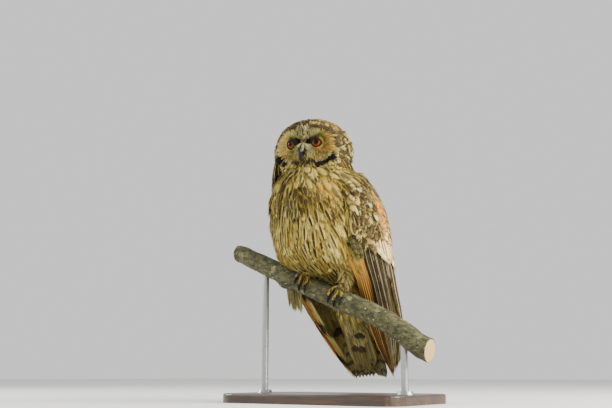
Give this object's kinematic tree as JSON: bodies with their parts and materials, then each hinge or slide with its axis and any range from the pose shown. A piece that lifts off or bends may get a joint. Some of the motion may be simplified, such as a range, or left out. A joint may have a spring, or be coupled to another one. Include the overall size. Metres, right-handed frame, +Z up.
{
  "type": "long-eared owl display model",
  "caption": "Still, life-size long-eared owl with its ear tufts laid flat, gripping a cut length of sloping branch on a plain display stand",
  "frame": {"origin": "centre of the stand base's underside, on the floor", "axes": "+Z is up; -Y is the way the bird's body faces; +X is the bird's left, towards which the branch slopes down"},
  "size_m": [0.3109, 0.2076, 0.3708],
  "materials": {
    "body_feathers": "soft ochre-buff plumage with dark streaks",
    "face_feathers": "fine short plumage, ochre discs and mottled crown",
    "wing_feathers": "overlapping vanes, mottled dark brown, cream and rufous",
    "tail_feathers": "overlapping vanes, buff with dark bars",
    "leg_feathers": "short dense buff plumage",
    "eye": "clear glossy eye, orange iris and black pupil",
    "horn": "dark slate horn, satin",
    "bark": "rough grey-brown bark with pale green lichen",
    "stand_wood": "dark stained wood, satin lacquer",
    "stand_steel": "brushed steel rods"
  },
  "bodies": {
    "root": {"torso": "body_feathers", "neck": "body_feathers", "head": "face_feathers", "eye_left": "eye", "eye_right": "eye", "bill_upper": "horn", "bill_lower": "horn", "wing_left": "wing_feathers", "wing_right": "wing_feathers", "tail": "tail_feathers", "leg_left": "leg_feathers", "leg_right": "leg_feathers", "foot_left": "leg_feathers", "foot_right": "leg_feathers", "claw_left_inner": "horn", "claw_left_middle": "horn", "claw_left_outer": "horn", "claw_left_hind": "horn", "claw_right_inner": "horn", "claw_right_middle": "horn", "claw_right_outer": "horn", "claw_right_hind": "horn", "perch": "bark", "stand_base": "stand_wood", "stand_rod_1": "stand_steel", "stand_rod_2": "stand_steel"}
  },
  "joints": []
}
